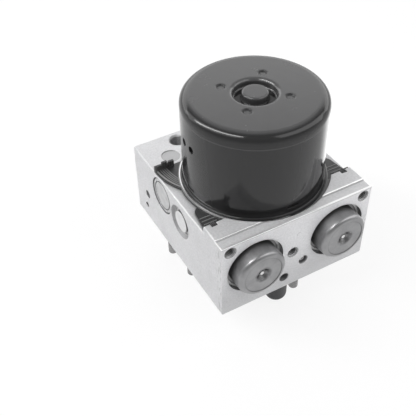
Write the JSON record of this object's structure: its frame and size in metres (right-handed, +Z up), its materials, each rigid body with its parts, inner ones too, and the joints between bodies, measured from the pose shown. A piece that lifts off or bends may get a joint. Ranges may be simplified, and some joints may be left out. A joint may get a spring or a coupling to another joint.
{
  "type": "anti-lock brake hydraulic unit",
  "caption": "Anti-lock brake hydraulic unit: machined valve block with a pump motor on top, accumulators in front, and solenoid valve domes and a connector below.",
  "frame": {"origin": "where the motor's axis meets the block's underside, the electronics face", "axes": "+Z up along the motor's axis, +X to the right with the accumulators facing the viewer, so the accumulators stand on the -Y face"},
  "size_m": [0.108, 0.1266, 0.1426],
  "materials": {
    "block_aluminium": "milled and bright, unpainted",
    "black_paint": "gloss black stoved paint",
    "zinc_steel": "bright zinc plate",
    "cup_steel": "dull zinc-nickel plate",
    "stainless": "deep-drawn stainless steel",
    "plain_steel": "oiled machined steel",
    "plug_aluminium": "turned",
    "hard_steel": "ground and polished",
    "frame_plastic": "glass-filled, black",
    "tower_plastic": "glass-filled, dark grey",
    "brush_plastic": "brown phenolic",
    "carbon": "pressed carbon",
    "ferrite": "ground ferrite",
    "copper": "enamelled copper",
    "bronze": "sintered bronze",
    "pin_brass": "tinned brass",
    "laminations": "stacked electrical sheet",
    "seal_rubber": "matt black"
  },
  "bodies": {
    "housing": {"valve_block": "block_aluminium", "motor_can": "black_paint", "motor_flange_ring": "zinc_steel", "motor_end_plate": "plain_steel", "base_frame": "frame_plastic", "motor_screws": "plain_steel", "field_magnets": "ferrite", "upper_bush": "bronze", "brush_plate": "brush_plastic", "brushes": "carbon", "brush_springs": "plain_steel", "lower_bearing_outer_race": "hard_steel", "lower_bearing_balls": "hard_steel", "accumulator_retaining_rings": "zinc_steel", "valve_bodies": "plain_steel", "valve_domes": "stainless", "valve_springs": "plain_steel", "connector_tower": "tower_plastic", "contact_pins": "pin_brass", "pressure_sensor": "stainless", "ball_plugs": "hard_steel", "pump_cylinder_left": "plain_steel", "pump_spring_left": "plain_steel", "pump_plug_left": "plug_aluminium", "damper_plug_left": "plug_aluminium", "accumulator_cup_left": "cup_steel", "accumulator_spring_left": "plain_steel", "pump_cylinder_right": "plain_steel", "pump_spring_right": "plain_steel", "pump_plug_right": "plug_aluminium", "damper_plug_right": "plug_aluminium", "accumulator_cup_right": "cup_steel", "accumulator_spring_right": "plain_steel"},
    "rotor": {"motor_shaft": "hard_steel", "armature_core": "laminations", "armature_windings": "copper", "commutator": "copper", "lower_bearing_inner_race": "hard_steel"},
    "eccentric_ring": {"eccentric_bearing_ring": "hard_steel"},
    "pump_plunger_left": {"pump_piston_left": "hard_steel"},
    "pump_plunger_right": {"pump_piston_right": "hard_steel"},
    "store_piston_left": {"accumulator_piston_left": "plug_aluminium", "accumulator_seal_left": "seal_rubber"},
    "store_piston_right": {"accumulator_piston_right": "plug_aluminium", "accumulator_seal_right": "seal_rubber"},
    "valve_plunger_01": {"valve_armature_01": "plain_steel"},
    "valve_plunger_02": {"valve_armature_02": "plain_steel"},
    "valve_plunger_03": {"valve_armature_03": "plain_steel"},
    "valve_plunger_04": {"valve_armature_04": "plain_steel"},
    "valve_plunger_05": {"valve_armature_05": "plain_steel"},
    "valve_plunger_06": {"valve_armature_06": "plain_steel"},
    "valve_plunger_07": {"valve_armature_07": "plain_steel"},
    "valve_plunger_08": {"valve_armature_08": "plain_steel"},
    "valve_plunger_09": {"valve_armature_09": "plain_steel"},
    "valve_plunger_10": {"valve_armature_10": "plain_steel"},
    "valve_plunger_11": {"valve_armature_11": "plain_steel"},
    "valve_plunger_12": {"valve_armature_12": "plain_steel"}
  },
  "joints": [
    {"name": "motor_spin", "type": "hinge", "parent": "housing", "child": "rotor", "pos_m": [0, 0, 0.08], "axis": [0, 0, 1], "continuous": true},
    {"name": "eccentric_ring_spin", "type": "hinge", "parent": "rotor", "child": "eccentric_ring", "pos_m": [0, 0.001, 0.0368], "axis": [0, 0, 1], "continuous": true},
    {"name": "pump_stroke_left", "type": "slide", "parent": "housing", "child": "pump_plunger_left", "axis": [-1, 0, 0], "range_m": [0, 0.002], "stiffness_N_per_m": 2000, "springref_m": -0.003, "deforming": ["pump_spring_left"]},
    {"name": "pump_stroke_right", "type": "slide", "parent": "housing", "child": "pump_plunger_right", "axis": [1, 0, 0], "range_m": [0, 0.002], "stiffness_N_per_m": 2000, "springref_m": -0.003, "deforming": ["pump_spring_right"]},
    {"name": "accumulator_stroke_left", "type": "slide", "parent": "housing", "child": "store_piston_left", "axis": [0, -1, 0], "range_m": [0, 0.01], "stiffness_N_per_m": 600, "springref_m": -0.03, "deforming": ["accumulator_spring_left"]},
    {"name": "accumulator_stroke_right", "type": "slide", "parent": "housing", "child": "store_piston_right", "axis": [0, -1, 0], "range_m": [0, 0.01], "stiffness_N_per_m": 600, "springref_m": -0.03, "deforming": ["accumulator_spring_right"]},
    {"name": "valve_lift_01", "type": "slide", "parent": "housing", "child": "valve_plunger_01", "axis": [0, 0, 1], "range_m": [0, 0.0004], "stiffness_N_per_m": 500, "springref_m": -0.001},
    {"name": "valve_lift_02", "type": "slide", "parent": "housing", "child": "valve_plunger_02", "axis": [0, 0, 1], "range_m": [0, 0.0004], "stiffness_N_per_m": 500, "springref_m": -0.001},
    {"name": "valve_lift_03", "type": "slide", "parent": "housing", "child": "valve_plunger_03", "axis": [0, 0, 1], "range_m": [0, 0.0004], "stiffness_N_per_m": 500, "springref_m": -0.001},
    {"name": "valve_lift_04", "type": "slide", "parent": "housing", "child": "valve_plunger_04", "axis": [0, 0, 1], "range_m": [0, 0.0004], "stiffness_N_per_m": 500, "springref_m": -0.001},
    {"name": "valve_lift_05", "type": "slide", "parent": "housing", "child": "valve_plunger_05", "axis": [0, 0, 1], "range_m": [0, 0.0004], "stiffness_N_per_m": 500, "springref_m": -0.001},
    {"name": "valve_lift_06", "type": "slide", "parent": "housing", "child": "valve_plunger_06", "axis": [0, 0, 1], "range_m": [0, 0.0004], "stiffness_N_per_m": 500, "springref_m": -0.001},
    {"name": "valve_lift_07", "type": "slide", "parent": "housing", "child": "valve_plunger_07", "axis": [0, 0, 1], "range_m": [0, 0.0004], "stiffness_N_per_m": 500, "springref_m": -0.001},
    {"name": "valve_lift_08", "type": "slide", "parent": "housing", "child": "valve_plunger_08", "axis": [0, 0, 1], "range_m": [0, 0.0004], "stiffness_N_per_m": 500, "springref_m": -0.001},
    {"name": "valve_lift_09", "type": "slide", "parent": "housing", "child": "valve_plunger_09", "axis": [0, 0, 1], "range_m": [0, 0.0004], "stiffness_N_per_m": 500, "springref_m": -0.001},
    {"name": "valve_lift_10", "type": "slide", "parent": "housing", "child": "valve_plunger_10", "axis": [0, 0, 1], "range_m": [0, 0.0004], "stiffness_N_per_m": 500, "springref_m": -0.001},
    {"name": "valve_lift_11", "type": "slide", "parent": "housing", "child": "valve_plunger_11", "axis": [0, 0, 1], "range_m": [0, 0.0004], "stiffness_N_per_m": 500, "springref_m": -0.001},
    {"name": "valve_lift_12", "type": "slide", "parent": "housing", "child": "valve_plunger_12", "axis": [0, 0, 1], "range_m": [0, 0.0004], "stiffness_N_per_m": 500, "springref_m": -0.001}
  ]
}
